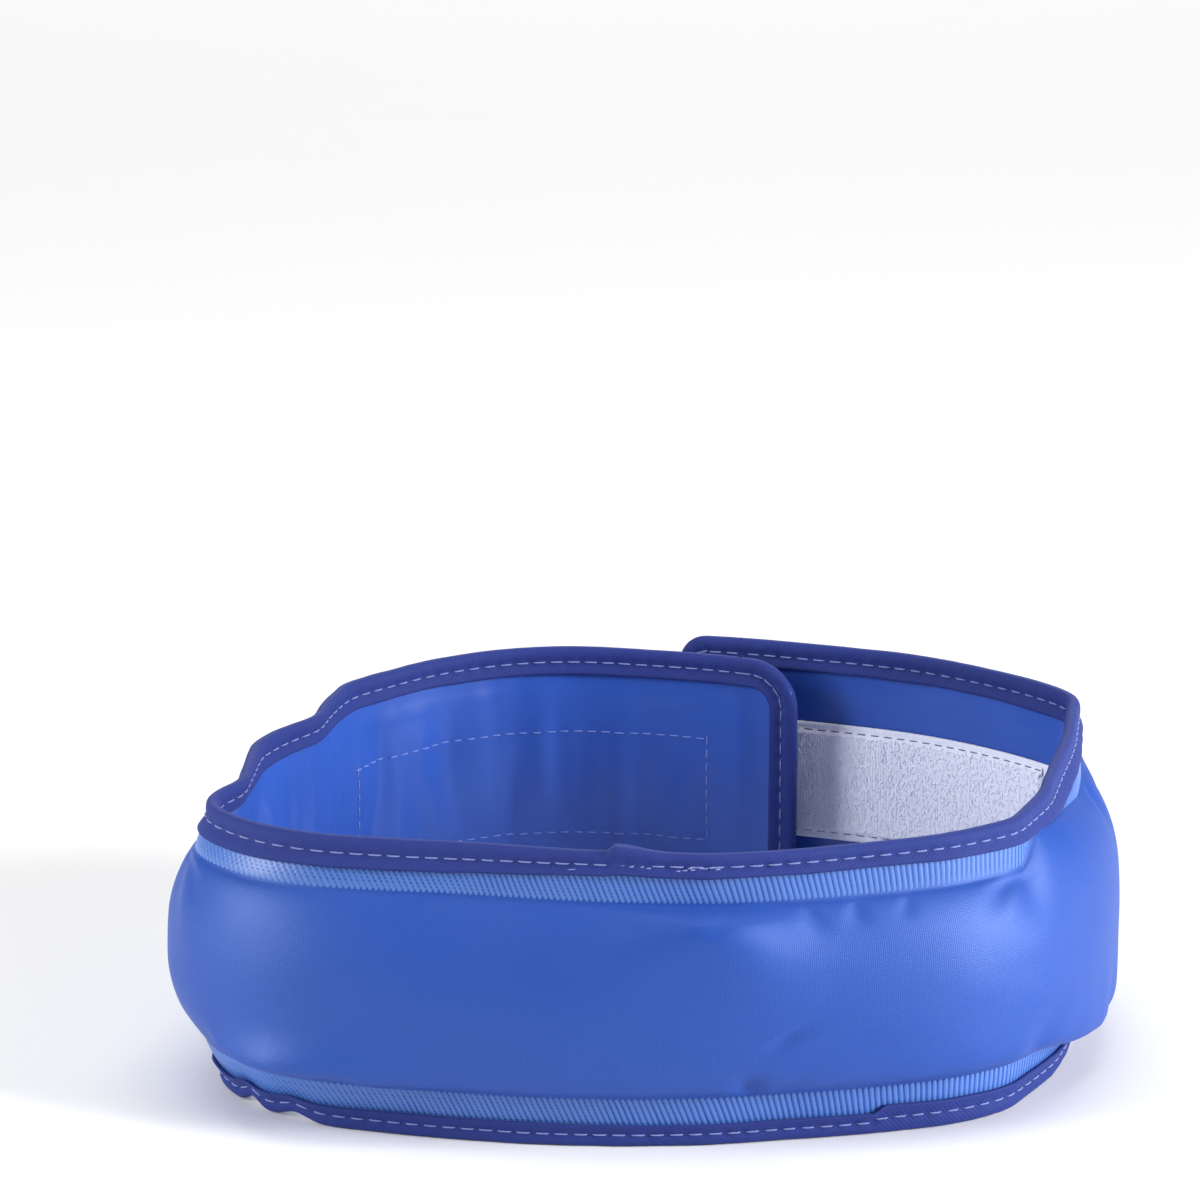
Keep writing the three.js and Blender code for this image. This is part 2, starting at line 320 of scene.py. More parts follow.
def blow_up_cover():
    """The cloth is a closed ring of quads round each station: the free front and a pinned back.
    It rests flat at its cut size, a little longer than its weld lines where the puff runs round
    the outside of a corner, so pressure makes it bulge until the cloth is taut."""
    count = int(round((PUFF_END - PUFF_START) / SIM_STEP)) + 1
    s = np.linspace(PUFF_START, PUFF_END, count)
    front = cover_start_shape(s, SIM_ROWS)
    across = np.linspace(0, 1, BACK_ROWS + 2)[1:-1]
    high = weld_top(s)[:, None]
    back = band(s[:, None], COVER_BACK - 0.6, high + (WELD_LOW - high) * across[None])
    ring = np.concatenate([front, back], axis=1)
    sides = ring.shape[1]
    ids = np.arange(count * sides).reshape(count, sides)
    mesh = bpy.data.meshes.new("cloth")
    faces = [*ring_quads(ids).tolist(), ids[0].tolist(), ids[-1][::-1].tolist()]
    mesh.from_pydata((ring.reshape(-1, 3) / SIM_UNIT).tolist(), [], faces)
    cloth = add_object("cloth", mesh)
    cloth.shape_key_add(name="Basis")
    rest = cloth.shape_key_add(name="cut")
    steps = np.linalg.norm(np.diff(band(s, COVER_FACE, WELD_TOP), axis=0), axis=1)
    puffed = band(s, COVER_FACE + PUFF_HEIGHT, BAND_HEIGHT / 2)
    middle = np.linalg.norm(np.diff(puffed, axis=0), axis=1)
    length = np.concatenate([[0], np.cumsum(steps + 0.8 * np.maximum(middle - steps, 0) + 0.01)])
    flat = np.zeros_like(ring)
    flat[:, :, 0] = length[:, None]
    wide = CLOTH_WIDTH + weld_top(s)[:, None] - WELD_TOP
    flat[:, :SIM_ROWS, 2] = wide * np.linspace(0, 1, SIM_ROWS)
    flat[:, SIM_ROWS:, 2] = flat[:, SIM_ROWS - 1:SIM_ROWS, 2] * (1 - across)
    flat[:, SIM_ROWS:, 1] = 4.0
    rest.data.foreach_set("co", (flat / SIM_UNIT).astype(np.float32).ravel())
    pins = cloth.vertex_groups.new(name="pins")
    held = np.zeros((count, sides), bool)
    held[[0, -1]] = True
    held[:, [0, *range(SIM_ROWS - 1, sides)]] = True
    pins.add(ids[held].tolist(), 1.0, "REPLACE")
    modifier = cloth.modifiers.new("Cloth", "CLOTH")
    setup = modifier.settings
    setup.quality = 8
    setup.mass = 0.02
    setup.tension_stiffness = 40
    setup.compression_stiffness = 20
    setup.shear_stiffness = 8
    setup.bending_stiffness = 3.0
    setup.tension_damping = 15
    setup.compression_damping = 15
    setup.shear_damping = 10
    setup.air_damping = 4
    setup.vertex_group_mass = "pins"
    setup.rest_shape_key = rest
    setup.use_pressure = True
    setup.uniform_pressure_force = 300
    setup.effector_weights.gravity = 0.3
    modifier.point_cache.frame_start = 1
    modifier.point_cache.frame_end = SIM_FRAMES
    for step in range(1, SIM_FRAMES + 1):
        bpy.context.scene.frame_set(step)
    done = cloth.evaluated_get(bpy.context.evaluated_depsgraph_get())
    co = np.zeros(count * sides * 3, np.float32)
    done.data.vertices.foreach_get("co", co)
    bpy.data.objects.remove(cloth)
    bpy.context.scene.frame_set(1)
    return s, co.reshape(count, sides, 3)[:, :SIM_ROWS].astype(float) * SIM_UNIT


def cubic_along(values, places, wanted):
    """Values at wanted places between even ones, by a Catmull-Rom cubic through four neighbours."""
    at = (wanted - places[0]) / (places[1] - places[0])
    base = np.clip(np.floor(at).astype(int), 0, len(places) - 2)
    t = (at - base).reshape(-1, *([1] * (values.ndim - 1)))
    last = len(places) - 1
    a, b, c, d = (values[np.clip(base + k, 0, last)] for k in (-1, 0, 1, 2))
    return b + t / 2 * (c - a + t * (2 * a - 5 * b + 4 * c - d + t * (3 * (b - c) + d - a)))


def layered_noise(s, z, scale, seed, layers=3):
    """Smooth noise from -1 to 1: cosine-blended random values on a lattice, in halving sizes. The
    two shifts keep the lattice's lines off the band's ends."""
    total = 0.0
    for k in range(layers):
        rng = np.random.default_rng(seed + k)
        lattice = rng.uniform(-1, 1, (256, 64))
        u, v = s / scale[0] * 2 ** k + 9.3, z / scale[1] * 2 ** k + 5.1
        u0, v0 = np.floor(u).astype(int), np.floor(v).astype(int)
        fu, fv = (0.5 - 0.5 * np.cos(math.pi * (x - x0)) for x, x0 in ((u, u0), (v, v0)))
        corner = [lattice[(u0 + i) % 256, (v0 + j) % 64] for i in (0, 1) for j in (0, 1)]
        total = total + 0.5 ** k * (
            (corner[0] * (1 - fv) + corner[1] * fv) * (1 - fu)
            + (corner[2] * (1 - fv) + corner[3] * fv) * fu)
    return total / 1.75


def tip_inset(s, less):
    """How far a flap's rounded corners, less an even margin, cut into the band's width at s: a
    quarter circle's height over its own end."""
    radius = np.where(s < BAND_LENGTH / 2, *TIP_RADII) - less
    from_tip = np.minimum(s, BAND_LENGTH - s)
    short = np.clip(radius - from_tip, 0, radius)
    return radius - np.sqrt(radius ** 2 - short ** 2)


def two_sided(face, thickness):
    """A closed section round a sheet: its outer face, and the same face set back by its thickness
    along its normals, in reverse order."""
    along = np.gradient(face, axis=0)
    across = np.gradient(face, axis=1)
    normal = np.cross(along, across)
    normal /= np.maximum(np.linalg.norm(normal, axis=2, keepdims=True), 1e-9)
    return np.concatenate([face, (face - normal * thickness)[:, ::-1]], axis=1)


def sheet_uv(s, v, thickness):
    """The cloth's own map in millimetres: s along the band, v across it, the back mirrored."""
    both = np.concatenate([v, v[:, ::-1] + thickness], axis=1)
    return np.stack([np.broadcast_to(s[:, None], both.shape), both], axis=-1)


def band_outward(s):
    """The band's outward way at s, as unit vectors."""
    return np.stack([np.interp(s, TABLE_S, TABLE_OUT[:, 0]),
                     np.interp(s, TABLE_S, TABLE_OUT[:, 1]), np.zeros_like(s)], axis=-1)


def valley(s, v, start, end, width, depth):
    """A fold pressed in along a line from start to end, each (s, share of the width): a Gaussian
    across the line that widens and fades towards its far end. A negative depth is a ridge."""
    along = np.array([end[0] - start[0], (end[1] - start[1]) * CLOTH_WIDTH])
    length = np.hypot(*along)
    way = along / length
    ds, dv = s - start[0], (v - start[1]) * CLOTH_WIDTH
    t = (ds * way[0] + dv * way[1]) / length
    off = ds * way[1] - dv * way[0]
    fade = soft_step(t, -0.12, 0.05) * (1 - soft_step(t, 0.2, 1.0))
    return -depth * np.exp(-(off / (width * (0.7 + 0.8 * np.clip(t, 0, 1)))) ** 2) * fade


# Soft folds and ridges the cloth takes when the flat band is bent into a ring. Each is (start, end,
# width in mm, depth in mm), a start or an end being a place along the band and a share of the
# cloth's width. The second and the third are ridges that frame the flat shield under the crease.
FRONT_FOLDS = [
    ((285.5, 1.0), (285, 0.86), 2.2, 1.2), ((286, 1.0), (302, 0.42), 9.0, -1.9),
    ((284, 1.0), (258, 0.6), 8.0, -1.3), ((292, 0.0), (290, 0.22), 2.4, 1.9),
    ((294, 0.02), (304, 0.16), 1.8, 0.8), ((301, 0.98), (306, 0.8), 1.8, 0.6),
    ((311, 0.97), (312, 0.82), 1.8, 0.5), ((322, 0.99), (319, 0.84), 1.5, 0.45),
    ((231, 0.99), (233, 0.86), 1.8, 0.4), ((297, 0.38), (300, 0.3), 5.5, 0.6),
    ((347, 1.0), (349, 0.6), 4.0, 1.2), ((348, 0.0), (350, 0.4), 3.2, 1.2),
    ((345, 1.0), (334, 0.8), 2.2, 1.0), ((183, 1.0), (196, 0.72), 3.0, 0.9),
    ((181, 0.98), (186, 0.3), 4.0, 1.2), ((160, 1.0), (161, 0.7), 2.5, 1.2),
    ((143, 1.0), (142, 0.68), 2.8, 1.1), ((170, 0.0), (171, 0.35), 2.5, 1.0),
    ((399, 1.0), (400, 0.7), 2.6, 0.9), ((412, 0.98), (410, 0.6), 2.4, 0.9),
    ((380, 0.0), (381, 0.3), 2.6, 0.8), ((196, 0.08), (226, 0.12), 6.0, -2.0),
]
# How far the puff hangs out over the lower weld, and how far its lip is drawn up, by place.
HANG = np.array([
    (119, 1.0), (176, 1.4), (186, 0.6), (198, 1.2), (207, 4.6), (222, 4.6), (234, 2.8), (262, 2.2),
    (286, 1.2), (296, 1.8), (340, 1.6), (356, 2.5), (372, 4.0), (395, 4.0), (424, 1.0)])
LIP = np.array([
    (119, -0.6), (174, 0.4), (184, 2.4), (194, 1.9), (202, 0.8), (208, 0.8), (216, 1.0),
    (222, 0.2), (232, -0.1), (350, 0.2), (360, -2.5), (372, -4.0), (395, -4.0), (424, -1.0)])
# The lip's height up the cloth, as a share of its width, and where the foam's shoulder is squarest.
LIP_HEIGHT = 0.08
SQUARE_AT, SQUARE_WIDTH = 283.0, 15.0


def hand_folds(s, v):
    """How far the blown-up cloth moves out and up. The foam squares its section off, most at the
    upper shoulder by the front crease. Near the lower weld it hangs out and its lip moves up or
    down, along a curve that rises and dies away up the cloth. The folds press it in, and broad,
    shallow dents are noise."""
    arch = np.clip(np.sin(math.pi * v), 0, 1)
    square = np.exp(-((s - SQUARE_AT) / SQUARE_WIDTH) ** 2) * soft_step(v, 0.45, 0.6)
    body = (3.0 + 4.5 * square) * (arch ** (0.6 - 0.22 * square) - arch)
    ends = plateau(s, PUFF_START, PUFF_START + 20, PUFF_END - 20, PUFF_END)
    low = (v / LIP_HEIGHT) * np.exp(1 - v / LIP_HEIGHT)
    hang = np.interp(s, HANG[:, 0], HANG[:, 1]) + 0.4 * layered_noise(s, 0 * v, (13, 9), 91)
    broad = 0.6 * layered_noise(s, v * CLOTH_WIDTH, (26, 17), 95, 2) * np.sin(math.pi * v)
    out = body * ends + 0.85 * hang * low * ends + broad
    held = plateau(v, 0, 0.09, 0.93, 1)
    for fold in FRONT_FOLDS:
        out = out + valley(s, v, *fold) * held
    return out, np.interp(s, LIP[:, 0], LIP[:, 1]) * low * ends


def cover_face():
    """The cover's outer face, row by row up the band: a flat margin, the puffed part, and a flat
    margin again. On the flaps the part between the margins is flat too."""
    s = stations(SHEET_TIP, BAND_LENGTH - SHEET_TIP, COVER_STEP)
    inset = SHEET_MARGIN + tip_inset(s, SHEET_MARGIN)[:, None]
    share = np.linspace(0, 1, MARGIN_ROWS)[None]
    z_low = inset + (WELD_LOW - inset) * share[:, :-1]
    high = weld_top(s)[:, None]
    z_top = high + (BAND_HEIGHT - inset - high) * share[:, 1:]
    across = np.linspace(0, 1, PUFF_ROWS)[None]
    z_mid = WELD_LOW + (high - WELD_LOW) * across
    z = np.concatenate([z_low, z_mid, z_top], axis=1)
    ripple = 0.3 * layered_noise(s[:, None], z, (9, 60), 11) * plateau(z, 10, 14, 44, 48)
    face = band(s[:, None], COVER_FACE + ripple, z)
    inside = (s > PUFF_START) & (s < PUFF_END)
    puff = cubic_along(sim_front, sim_s, s[inside])
    puff = cubic_along(puff.swapaxes(0, 1), np.arange(SIM_ROWS),
                       np.linspace(0, SIM_ROWS - 1, PUFF_ROWS)).swapaxes(0, 1)
    out, up = hand_folds(s[inside, None], across)
    puff[..., :2] += out[..., None] * band_outward(s[inside])[:, None, :2]
    puff[..., 2] += up
    rows = slice(MARGIN_ROWS - 1, MARGIN_ROWS - 1 + PUFF_ROWS)
    face[inside, rows] = puff
    return s, z, face


sim_s, sim_front = blow_up_cover()
cover_s, cover_z, cover_face_grid = cover_face()

# Coated nylon, plain woven and satin: the coating fills the weave, so it shines softly, and the
# threads only show close to. Thread spacing is drawn at 0.4 mm, coarser than the real 0.15 mm.
COVER_SHADES = ("103c94", "1546a0")
COVER_LUSTRE = "a9c0f6"
COVER_THREAD = 0.0004


def linear(hex_colour):
    """An sRGB hex colour as linear red, green, blue and full alpha."""
    parts = [int(hex_colour[i:i + 2], 16) / 255 for i in (0, 2, 4)]
    return [p / 12.92 if p <= 0.04045 else ((p + 0.055) / 1.055) ** 2.4 for p in parts] + [1.0]


def new_material(name, **settings):
    """A material with its shader's own sockets set, and the two handles its nodes need."""
    material = bpy.data.materials.new(name)
    material.use_nodes = True
    shader = material.node_tree.nodes["Principled BSDF"]
    for socket, value in settings.items():
        shader.inputs[socket.replace("_", " ")].default_value = value
    return material, material.node_tree, shader


def add_node(tree, kind, settings=None, inputs=None):
    """One node, its settings given by name and its inputs by name or number, as values or links."""
    node = tree.nodes.new("ShaderNode" + kind)
    for name, value in (settings or {}).items():
        setattr(node, name, value)
    for name, value in (inputs or {}).items():
        if isinstance(value, bpy.types.NodeSocket):
            tree.links.new(value, node.inputs[name])
        else:
            node.inputs[name].default_value = value
    return node


def colour_and_relief(tree, shader, shades, share, height, strength, deep):
    """Runs a shader's colour from the first shade to the second by a share from 0 to 1, and tips
    its normal by a height pattern that stands for so many metres."""
    mix = add_node(tree, "Mix", {"data_type": "RGBA"}, {
        0: share, 6: linear(shades[0]), 7: linear(shades[1])})
    tree.links.new(mix.outputs[2], shader.inputs["Base Color"])
    bump = add_node(tree, "Bump", inputs={"Height": height, "Strength": strength, "Distance": deep})
    tree.links.new(bump.outputs["Normal"], shader.inputs["Normal"])


def cover_material():
    material, tree, shader = new_material(
        "coated_nylon_cover", Roughness=0.52, IOR=1.55, Specular_IOR_Level=1.0, Sheen_Weight=0.05,
        Sheen_Roughness=0.45)
    for socket in ("Specular Tint", "Sheen Tint"):
        shader.inputs[socket].default_value = linear(COVER_LUSTRE)
    place = add_node(tree, "TexCoord").outputs["UV"]
    waves = []
    for direction in ("X", "Y"):
        waves.append(add_node(tree, "TexWave", {"bands_direction": direction}, {
            "Vector": place, "Scale": 0.314 / COVER_THREAD, "Distortion": 3.0,
            "Detail": 3.0, "Detail Scale": 1.5}).outputs["Fac"])
    weave = add_node(tree, "Math", {"operation": "MULTIPLY"}, {0: waves[0], 1: waves[1]})
    grain = add_node(tree, "TexNoise", inputs={
        "Vector": place, "Scale": 1.0 / COVER_THREAD, "Detail": 2.0, "Roughness": 0.7})
    spread = add_node(tree, "MapRange", inputs={
        "Value": grain.outputs["Fac"], "From Min": 0.3, "From Max": 0.7})
    colour_and_relief(tree, shader, COVER_SHADES, spread.outputs[0], weave.outputs[0], 0.5, 0.00006)
    return material


cover_cloth = cover_material()
cover_pieces = band_layer(
    "outer_cover", cover_s, two_sided(cover_face_grid, CLOTH), sheet_uv(cover_s, cover_z, CLOTH),
    cover_cloth, "cover")

# ---------------------------------------------------------------------------------------------
# Weld strips: along both edges the cover is welded to the lining with a ribbed bar, which presses
# slanting beads into the cloth and leaves it paler. They show between the puff and the binding.
# ---------------------------------------------------------------------------------------------
RIB_PITCH = 1.1
RIB_HEIGHT = 0.12
RIB_STEP = RIB_PITCH / 6
STRIP_ROWS = 11
STRIPS = {"top": (48.0, 54.6), "bottom": (3.6, 10.0)}
RIB_LEAN_AT = [0, 180, 215, 285, 348, 518]
RIB_LEAN = [0.3, 0.75, 0.55, 0.35, -0.1, 0.2]


def weld_ribs(low, high):
    """Cosine ribs at an even pitch along the band, leaning by an amount that drifts along it, each
    with its own strength, and flattened out at the strip's two edges."""
    s = stations(TIP_RADII[0], BAND_LENGTH - TIP_RADII[0], RIB_STEP)
    z = np.broadcast_to(np.linspace(low, high, STRIP_ROWS), (len(s), STRIP_ROWS))
    lean = np.interp(s, RIB_LEAN_AT, RIB_LEAN)[:, None] * (z - low)
    lean = lean + 0.25 * layered_noise(s[:, None], z, (14, 8), 51)
    phase = (s[:, None] + lean) / RIB_PITCH
    crest = 0.5 - 0.5 * np.cos(2 * math.pi * phase)
    own = 0.75 + 0.25 * layered_noise(np.round(phase) * 3.7, z, (5, 9), 57, 1)
    edge = np.clip(np.minimum(z - low, high - z) / 0.5, 0, 1)
    n = COVER_FACE - 0.03 + RIB_HEIGHT * crest * own * edge
    base = np.full((len(s), 2), COVER_FACE - 0.25)
    n = np.concatenate([n, base], axis=1)
    z = np.concatenate([z, np.broadcast_to([high, low], (len(s), 2))], axis=1)
    rib = np.concatenate([phase, phase[:, [-1, 0]]], axis=1) * RIB_PITCH
    return s, np.stack([rib, z], axis=-1), band(s[:, None], n, z)


# The welded cloth: heat and pressure craze its coating, which scatters more light and looks paler. Its
# colour is also darker in the valleys between the ribs and lighter on their crests: painted shade and
# highlight over a blotchy tone.
WELD_RIB_SHADE_AND_TONE = ("3d62ae", "4e76bd")


def weld_material():
    material, tree, shader = new_material("welded_nylon", Roughness=0.38, IOR=1.5)
    place = add_node(tree, "TexCoord").outputs["UV"]
    blotch = add_node(tree, "TexNoise", inputs={"Vector": place, "Scale": 700.0, "Detail": 3.0})
    # The rib wave follows the geometric ribs. It paints shade into their valleys and highlight on their
    # crests.
    rib = add_node(tree, "TexWave", {"bands_direction": "X"}, {
        "Vector": place, "Scale": 0.314159 / RIB_PITCH * 1000})
    both = add_node(tree, "Math", {"operation": "MULTIPLY_ADD"}, {
        0: blotch.outputs["Fac"], 1: 0.3, 2: rib.outputs["Fac"]})
    colour_and_relief(
        tree, shader, WELD_RIB_SHADE_AND_TONE, both.outputs[0], blotch.outputs["Fac"], 0.2, 0.00005)
    return material


welded_cloth = weld_material()
for edge, (low, high) in STRIPS.items():
    weld_s, weld_uv, weld_points = weld_ribs(low, high)
    band_layer(f"{edge}_weld", weld_s, weld_points, weld_uv, welded_cloth)

# ---------------------------------------------------------------------------------------------
# Foam pads: one block of open-cell foam for each padded panel, cut from sheet and rounded by the
# cloth that presses on it. It fills the cover and stops short of the folds.
# ---------------------------------------------------------------------------------------------
PAD_GAP = 3.0
PAD_BACK = 1.75
PAD_END = 6.0
PAD_MIDDLE = 29.0
PAD_HALF = 16.0
PAD_ROUND = 9.0
PAD_RINGS = 60
PAD_ROWS = 24
PADDED = {"left_side": (121.0, 180.0), "front_left": (180.0, 285.0),
          "front_right": (285.0, 348.0), "right_side": (348.0, 422.0)}


def pad_rings(low, high):
    """The pad's front is a rounded block, a superellipse a gap inside the cover's fullest line,
    and its back is flat. Rings shrink to the pad's middle along a quarter circle at both ends."""
    s = np.linspace(low + PAD_END, high - PAD_END, PAD_RINGS)
    full = cubic_along(cover_face_grid, np.arange(len(cover_s)), np.interp(
        s, cover_s, np.arange(len(cover_s))))[:, MARGIN_ROWS + PUFF_ROWS // 2]
    foot = band(s, 0, full[:, 2])
    thick = ((full - foot) * band_outward(s)).sum(axis=1) - PAD_GAP
    up = np.linspace(-1, 1, PAD_ROWS)
    n = PAD_BACK + (thick[:, None] - PAD_BACK) * np.sqrt(1 - np.abs(up) ** 2.6)
    n = np.concatenate([n, np.full((PAD_RINGS, 2), PAD_BACK - 0.1)], axis=1)
    z = np.broadcast_to(np.concatenate([up, [0.6, -0.6]]) * PAD_HALF, n.shape)
    from_end = np.minimum(s - s[0], s[-1] - s)[:, None]
    size = np.sqrt(1 - (1 - np.clip(from_end / PAD_ROUND, 0.02, 1)) ** 2)
    return s, band(s[:, None], PAD_BACK + (n - PAD_BACK) * size, PAD_MIDDLE + z * size)


# Polyether foam: matt and off-white, with pores of about half a millimetre.
FOAM_SHADES = ("a9a492", "dcd8cb")


def foam_material():
    material, tree, shader = new_material("polyether_foam", Roughness=0.95)
    place = add_node(tree, "TexCoord").outputs["Object"]
    pores = add_node(tree, "TexVoronoi", inputs={"Vector": place, "Scale": 1900.0})
    pore = pores.outputs["Distance"]
    colour_and_relief(tree, shader, FOAM_SHADES, pore, pore, 0.6, 0.0003)
    return material


foam = foam_material()
for body, (low, high) in PADDED.items():
    pad_s, pad_points = pad_rings(low, high)
    flat = np.zeros((*pad_points.shape[:2], 2))
    pad = make_tube(f"{body}_foam", pad_points, grid_normals(pad_points), flat, foam)
    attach(pad, body)
    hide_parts(f"{body}_pad")


# ---------------------------------------------------------------------------------------------
# Lining: one strip of smoother coated cloth inside the band, glossy as film, with soft ripples
# up the band and a faint ridge where the weld to the cover runs along each edge.
# ---------------------------------------------------------------------------------------------
LINING_FACE = 0.9
LINING_ROWS = 40
LINING_STEP = 1.1
# How far the welds' ridges lie from the band's middle, and the stretch that the loop tape covers.
WELD_RIDGE = 19.6
LOOP_FROM, LOOP_TO = 432.0, 510.0


def lining_height(s, z):
    """How far out the lining's inner face lies. Its ripples are noise drawn out along z, strongest
    where the band turns hardest and slight under the loop tape and at the inner flap's tip, and a
    Gaussian ridge marks each weld."""
    bent = 1.5 + 1.0 * plateau(s, 60, 100, 175, 200)
    bent = bent * (1 - 0.85 * soft_step(s, LOOP_FROM - 12, LOOP_FROM - 2)) * soft_step(s, 6, 16)
    across = np.clip((z - 3) / (BAND_HEIGHT - 6), 0, 1)
    ripple = bent * (layered_noise(s, z, (7, 42), 21, 2) - 0.45) * np.sin(math.pi * across)
    ridge = np.exp(-((np.abs(z - BAND_HEIGHT / 2) - WELD_RIDGE) / 0.5) ** 2)
    return LINING_FACE + ripple - 0.28 * ridge


def lining_face():
    """The face towards the neck, row by row down the band."""
    s = stations(SHEET_TIP, BAND_LENGTH - SHEET_TIP, LINING_STEP)
    inset = SHEET_MARGIN + tip_inset(s, SHEET_MARGIN)[:, None]
    across = np.linspace(0, 1, LINING_ROWS)[None]
    z = BAND_HEIGHT - inset - (BAND_HEIGHT - 2 * inset) * across
    n = lining_height(s[:, None], z)
    return s, z, band(s[:, None], n, z)


lining_s, lining_z, lining_inner = lining_face()

# Coated taffeta: the same dye as the cover under a thicker, smoother coat of polyurethane.
LINING_SHADES = ("2c50a8", "345cb8")


def lining_material():
    material, tree, shader = new_material(
        "polyurethane_coated_taffeta", Roughness=0.3, IOR=1.48, Coat_Weight=0.25,
        Coat_Roughness=0.25)
    place = add_node(tree, "TexCoord").outputs["UV"]
    blotch = add_node(tree, "TexNoise", inputs={"Vector": place, "Scale": 60.0, "Detail": 4.0})
    grain = add_node(tree, "TexNoise", inputs={"Vector": place, "Scale": 2500.0, "Detail": 2.0})
    colour_and_relief(
        tree, shader, LINING_SHADES, blotch.outputs["Fac"], grain.outputs["Fac"], 0.15, 0.00004)
    return material


lining_cloth = lining_material()
lining_pieces = band_layer(
    "lining", lining_s, two_sided(lining_inner, CLOTH), sheet_uv(lining_s, lining_z, CLOTH),
    lining_cloth, "lining")

# ---------------------------------------------------------------------------------------------
# Edge binding: 12 mm twill tape folded lengthwise over the band's edges and sewn through. Its legs
# lie against lining and cover, and each stitch pulls it in a little.
# ---------------------------------------------------------------------------------------------
BAND_THICK = 3.3
TAPE = 0.6
TAPE_SHOWS = 5.7
STITCH_DEPTH = 3.1
STITCH_PITCH = 3.55
BINDING_STEP = 0.72
LEG_DEPTHS = np.array([5.7, 5.2, 4.6, 4.1, 3.6, 3.1, 2.6, 2.1, 1.6, 1.1, 0.7, 0.4, 0.18, 0.04])
INSIDE_DEPTHS = np.array([5.7, 4.4, 3.1, 2.0, 1.0])


def tape_spread(depth):
    """Half the folded tape's thickness at a depth below the edge: it widens fast from the fold,
    is pulled in along the stitches and opens again towards the cut edges."""
    return (1.12 * np.sqrt(1 - (1 - np.clip(depth / 1.2, 0, 1)) ** 2)
            + 0.53 * soft_step(depth, 3.4, TAPE_SHOWS) + 0.12 * np.exp(-((depth - 1.9) / 0.7) ** 2))


def binding_section():
    """One closed section of the folded tape, as n and depth below the edge: up the outer leg, over
    the fold, down the inner leg and back inside it."""
    wide = tape_spread(LEG_DEPTHS)
    slim = np.maximum(tape_spread(INSIDE_DEPTHS) - TAPE, 0.15)
    half = BAND_THICK / 2
    n = np.concatenate([half + wide, half - wide[::-1], half - slim, half + slim[::-1]])
    depth = np.concatenate([LEG_DEPTHS, LEG_DEPTHS[::-1], INSIDE_DEPTHS, INSIDE_DEPTHS[::-1]])
    return n, depth


def section_lengths(n, depth):
    """How far round the section each of its points lies."""
    step = np.hypot(np.diff(n), np.diff(depth))
    return np.concatenate([[0], np.cumsum(step)])


LEG_SHARE_AT = [0, 20, 60, 235, 262, 316, 318, 375, 470, 500, 518]
LEG_SHARE = {"top": [1, 1, 1, 1, 0.8, 0.77, 0.77, 1, 1, 1, 1],
             "bottom": [1, 1, 0.85, 0.8, 0.78, 0.78, 1.04, 0.9, 0.88, 1, 1]}
# Where the tape's end laps over its own start, and how far its fold lifts there.
JOINT = 266.3
JOINT_LIFT = 1.3


def leg_share(edge, s):
    """How much of the tape's nominal leg shows at s: it was folded off centre in places."""
    return np.interp(s, LEG_SHARE_AT, LEG_SHARE[edge])


def joint_rise(edge, s):
    """How far the lapped joint by the front crease lifts the top run's fold: it starts short and
    dies away along the lap."""
    return JOINT_LIFT * plateau(s, JOINT - 0.9, JOINT + 0.9, JOINT, JOINT + 12) * (edge == "top")


def binding_shape(u, seed):
    """The section at every station: the legs bow out between the stitches and dip at each one,
    and the tape's edge wanders a little. All of it fades at both ends of a run, where runs meet."""
    n, depth = (np.broadcast_to(x, (len(u), len(x))).copy() for x in binding_section())
    outer = 2 * len(LEG_DEPTHS)
    side = np.sign(n - BAND_THICK / 2)
    pull = np.exp(-((depth - STITCH_DEPTH) / 0.9) ** 2)
    free = soft_step(np.minimum(u - u[0], u[-1] - u), 0, 4)[:, None]
    bite = 0.5 + 0.5 * free * np.cos(2 * math.pi * u / STITCH_PITCH)[:, None]
    n[:, :outer] += (side * (0.08 - pull * (0.1 + 0.24 * bite)))[:, :outer]
    n[:, :outer] += 0.16 * free * layered_noise(u[:, None], depth[:, :outer], (5, 4), seed)
    wander = 0.35 * free * layered_noise(u[:, None], np.zeros((1, 1)), (22, 9), seed + 5)
    depth *= 1 + wander * soft_step(depth, 3.5, TAPE_SHOWS) / TAPE_SHOWS
    return n, depth


# Polyester twill tape: matt, darker than the cover, with fine slanting ribs. They are drawn at
# 0.7 mm, a little coarser than such a tape's, so that they show.
BINDING_SHADES = ("0f246e", "142f88")
TWILL_PITCH = 0.0007


def binding_material():
    material, tree, shader = new_material(
        "polyester_twill_tape", Roughness=0.8, IOR=1.5, Sheen_Weight=0.12, Sheen_Roughness=0.5)
    shader.inputs["Sheen Tint"].default_value = linear("7f8fe0")
    place = add_node(tree, "TexCoord").outputs["UV"]
    turned = add_node(tree, "Mapping", inputs={"Vector": place, "Rotation": (0, 0, 0.75)})
    wave = add_node(tree, "TexWave", {"bands_direction": "X"}, {
        "Vector": turned.outputs[0], "Scale": 0.314 / TWILL_PITCH, "Distortion": 1.2,
        "Detail": 2.0, "Detail Scale": 1.0})
    fuzz = add_node(tree, "TexNoise", inputs={"Vector": place, "Scale": 1800.0, "Detail": 3.0})
    both = add_node(tree, "Math", {"operation": "MULTIPLY"}, {
        0: wave.outputs["Fac"], 1: fuzz.outputs["Fac"]})
    colour_and_relief(tree, shader, BINDING_SHADES, both.outputs[0], both.outputs[0], 0.5, 0.00012)
    return material


binding_tape = binding_material()
# The end bindings take over this far from the tips. The runs reach a little way into them, so that
# no gap shows where they meet.
TIP_REACH = 13.0
RUN_OVERLAP = 0.4

